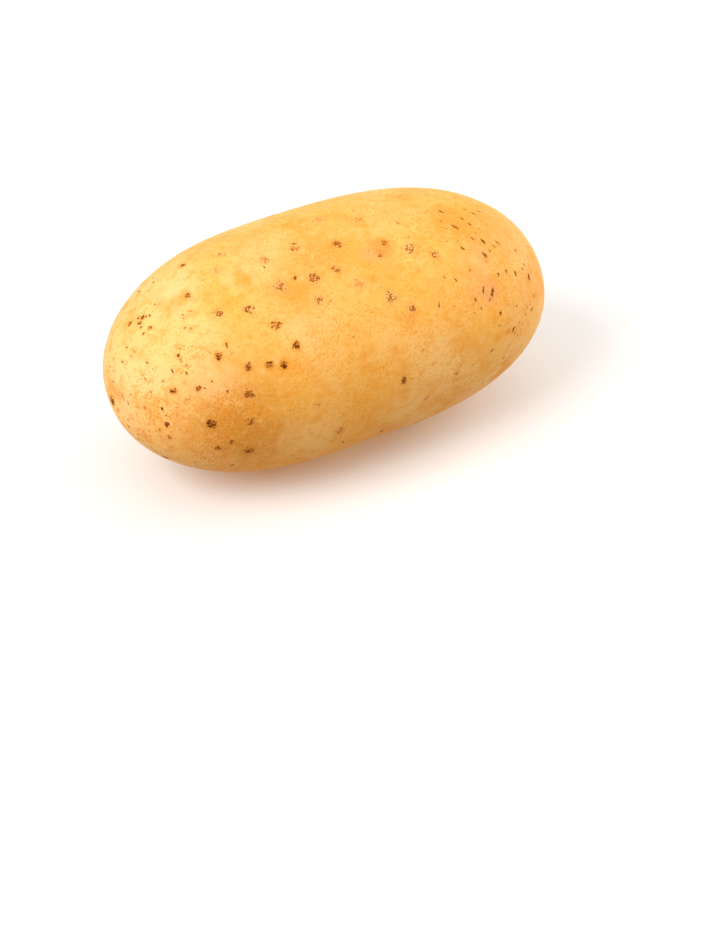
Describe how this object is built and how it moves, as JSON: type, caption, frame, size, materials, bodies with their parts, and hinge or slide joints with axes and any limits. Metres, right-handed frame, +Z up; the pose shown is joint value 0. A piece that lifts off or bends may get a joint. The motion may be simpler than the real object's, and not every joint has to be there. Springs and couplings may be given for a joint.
{
  "type": "potato",
  "caption": "Whole raw potato: a long oval, smooth-skinned yellow tuber with shallow eyes and corky spots, lying on its side to be cooked, cut, weighed or displayed.",
  "frame": {"origin": "middle of the tuber's footprint box, on the surface that it lies on", "axes": "+X along the tuber from its stem end to its bud end, +Z up from the resting spot, +Y to the back"},
  "size_m": [0.1054, 0.0572, 0.0498],
  "materials": {
    "skin": "thin golden yellow potato skin, smooth and softly satin, mottled, with small brown corky spots that have paler rims"
  },
  "bodies": {
    "root": {"potato": "skin"}
  },
  "joints": []
}
